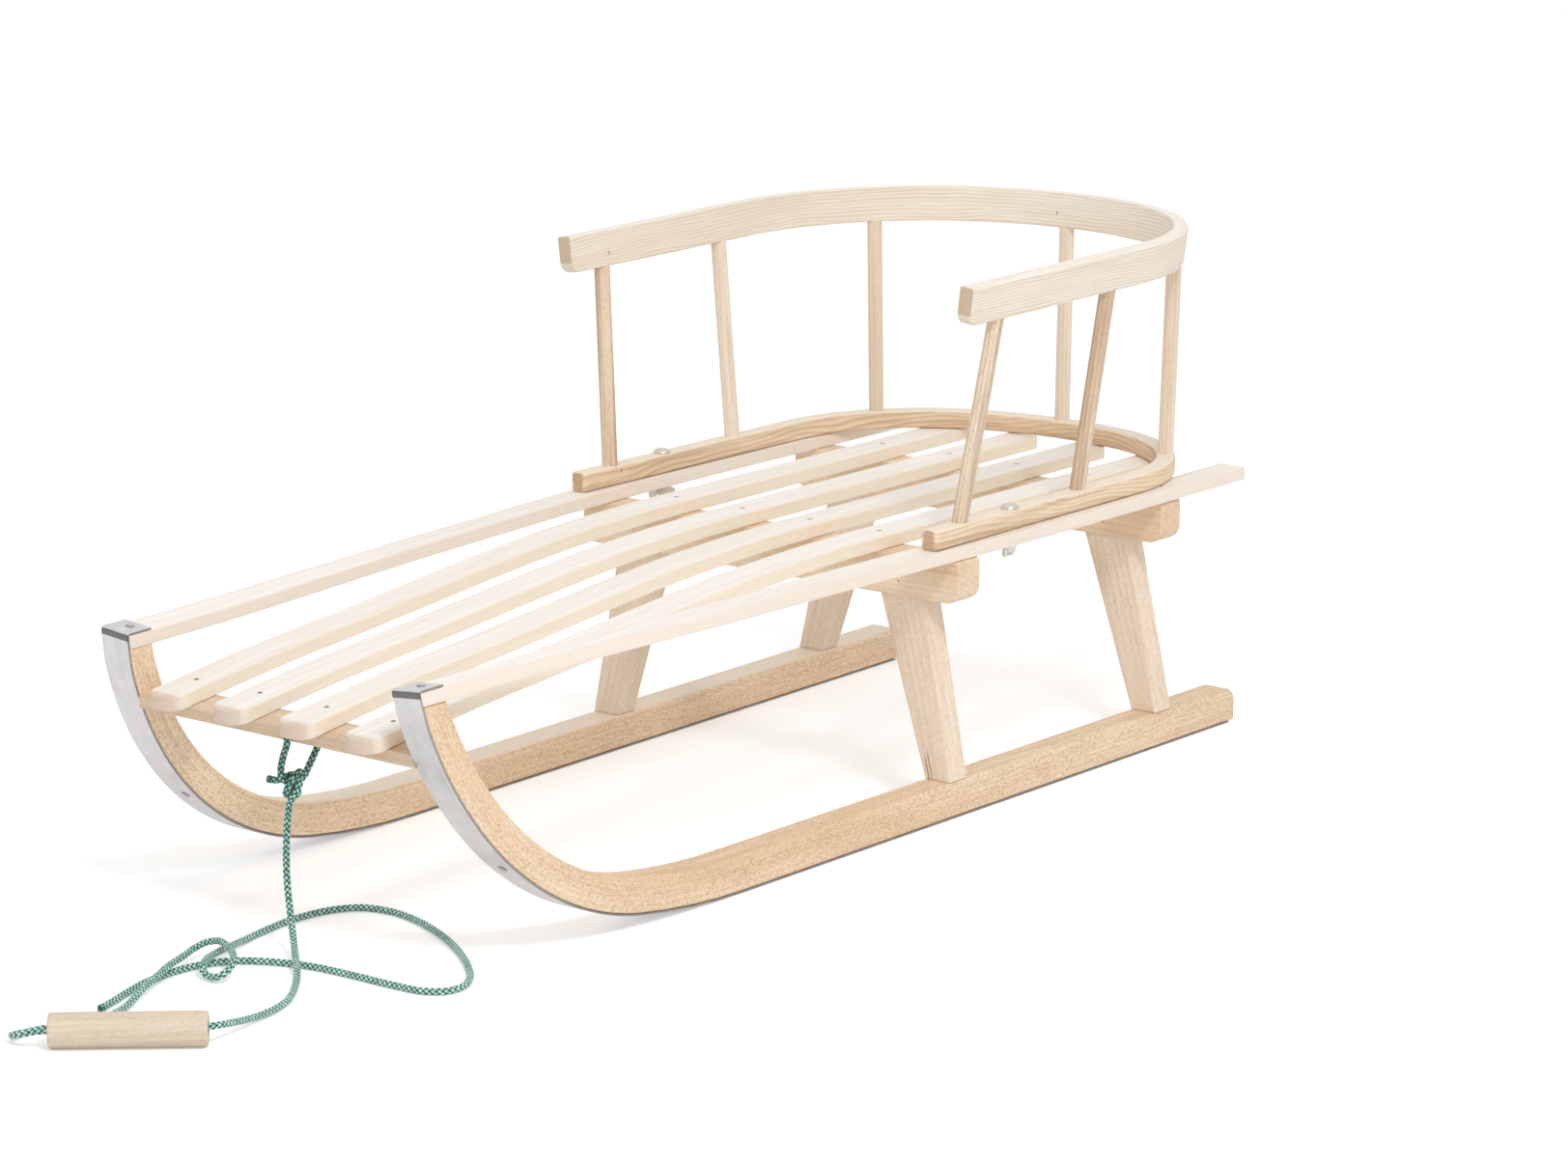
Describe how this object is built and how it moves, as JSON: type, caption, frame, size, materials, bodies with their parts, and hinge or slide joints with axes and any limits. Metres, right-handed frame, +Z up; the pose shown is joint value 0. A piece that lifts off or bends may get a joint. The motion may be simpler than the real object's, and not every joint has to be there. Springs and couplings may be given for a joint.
{
  "type": "child's wooden sled",
  "caption": "Child's wooden sled with bent steel-shod runners, a bowed slat seat, a lift-off hooped backrest with turned spindles and a pull rope with a round handle.",
  "frame": {"origin": "on the floor under the middle of the sled, halfway from the curled tips to the back of the backrest", "axes": "+Z up, +Y from the curled tips to the backrest, +X to the sled's left side"},
  "size_m": [0.3906, 1.1854, 0.4067],
  "materials": {
    "beech_runner": "satin, lightly oiled",
    "beech_leg": "sanded, lightly oiled",
    "beech_slat": "sanded, lightly oiled",
    "ash_lower_hoop": "sanded, lightly oiled",
    "ash_upper_hoop": "sanded, lightly oiled",
    "turned_spindle": "turned, lightly oiled",
    "turned_handle": "turned, lightly oiled",
    "galvanised_steel": "dull zinc coat",
    "green_rope": "braided cord"
  },
  "bodies": {
    "sled": {"runner_left": "beech_runner", "runner_right": "beech_runner", "shoe_left": "galvanised_steel", "shoe_right": "galvanised_steel", "leg_front_left": "beech_leg", "leg_front_right": "beech_leg", "leg_rear_left": "beech_leg", "leg_rear_right": "beech_leg", "bolster_front": "beech_leg", "bolster_rear": "beech_leg", "front_crossbar": "beech_slat", "slat_middle_left": "beech_slat", "slat_middle_right": "beech_slat", "slat_inner_left": "beech_slat", "slat_inner_right": "beech_slat", "slat_outer_left": "beech_slat", "slat_outer_right": "beech_slat", "slat_middle_screw_front_left": "galvanised_steel", "slat_middle_screw_front_right": "galvanised_steel", "slat_middle_screw_rear_left": "galvanised_steel", "slat_middle_screw_rear_right": "galvanised_steel", "slat_inner_screw_front_left": "galvanised_steel", "slat_inner_screw_front_right": "galvanised_steel", "slat_inner_screw_rear_left": "galvanised_steel", "slat_inner_screw_rear_right": "galvanised_steel", "slat_outer_screw_front_left": "galvanised_steel", "slat_outer_screw_front_right": "galvanised_steel", "slat_outer_screw_rear_left": "galvanised_steel", "slat_outer_screw_rear_right": "galvanised_steel", "slat_middle_nail_left": "galvanised_steel", "slat_middle_nail_right": "galvanised_steel", "slat_inner_nail_left": "galvanised_steel", "slat_inner_nail_right": "galvanised_steel", "tip_screw_left": "galvanised_steel", "tip_screw_right": "galvanised_steel", "curl_screw_left": "galvanised_steel", "curl_screw_right": "galvanised_steel", "washer_left": "galvanised_steel", "washer_right": "galvanised_steel", "rope_tie": "green_rope", "rope_knot": "green_rope", "rope_tail": "green_rope", "pull_rope": "green_rope"},
    "backrest": {"lower_hoop": "ash_lower_hoop", "upper_hoop": "ash_upper_hoop", "spindle_back": "turned_spindle", "spindle_front_left": "turned_spindle", "spindle_front_right": "turned_spindle", "spindle_middle_left": "turned_spindle", "spindle_middle_right": "turned_spindle", "spindle_corner_left": "turned_spindle", "spindle_corner_right": "turned_spindle", "bolt_left": "galvanised_steel", "bolt_right": "galvanised_steel"},
    "nut_left": {"wing_nut_left": "galvanised_steel"},
    "nut_right": {"wing_nut_right": "galvanised_steel"},
    "handle": {"pull_handle": "turned_handle"}
  },
  "joints": [
    {"name": "backrest_lift", "type": "slide", "parent": "sled", "child": "backrest", "axis": [0, 0, 1], "range_m": [0, 0.06]},
    {"name": "left_nut_turn", "type": "hinge", "parent": "sled", "child": "nut_left", "pos_m": [0.1665, 0.15128, 0.1944], "axis": [0, 0, 1], "continuous": true},
    {"name": "right_nut_turn", "type": "hinge", "parent": "sled", "child": "nut_right", "pos_m": [-0.1665, 0.15128, 0.1944], "axis": [0, 0, 1], "continuous": true},
    {"name": "handle_turn", "type": "hinge", "parent": "sled", "child": "handle", "pos_m": [0.07522, -0.66889, 0.0114], "axis": [-0.7576, -0.6528, 0], "continuous": true}
  ]
}
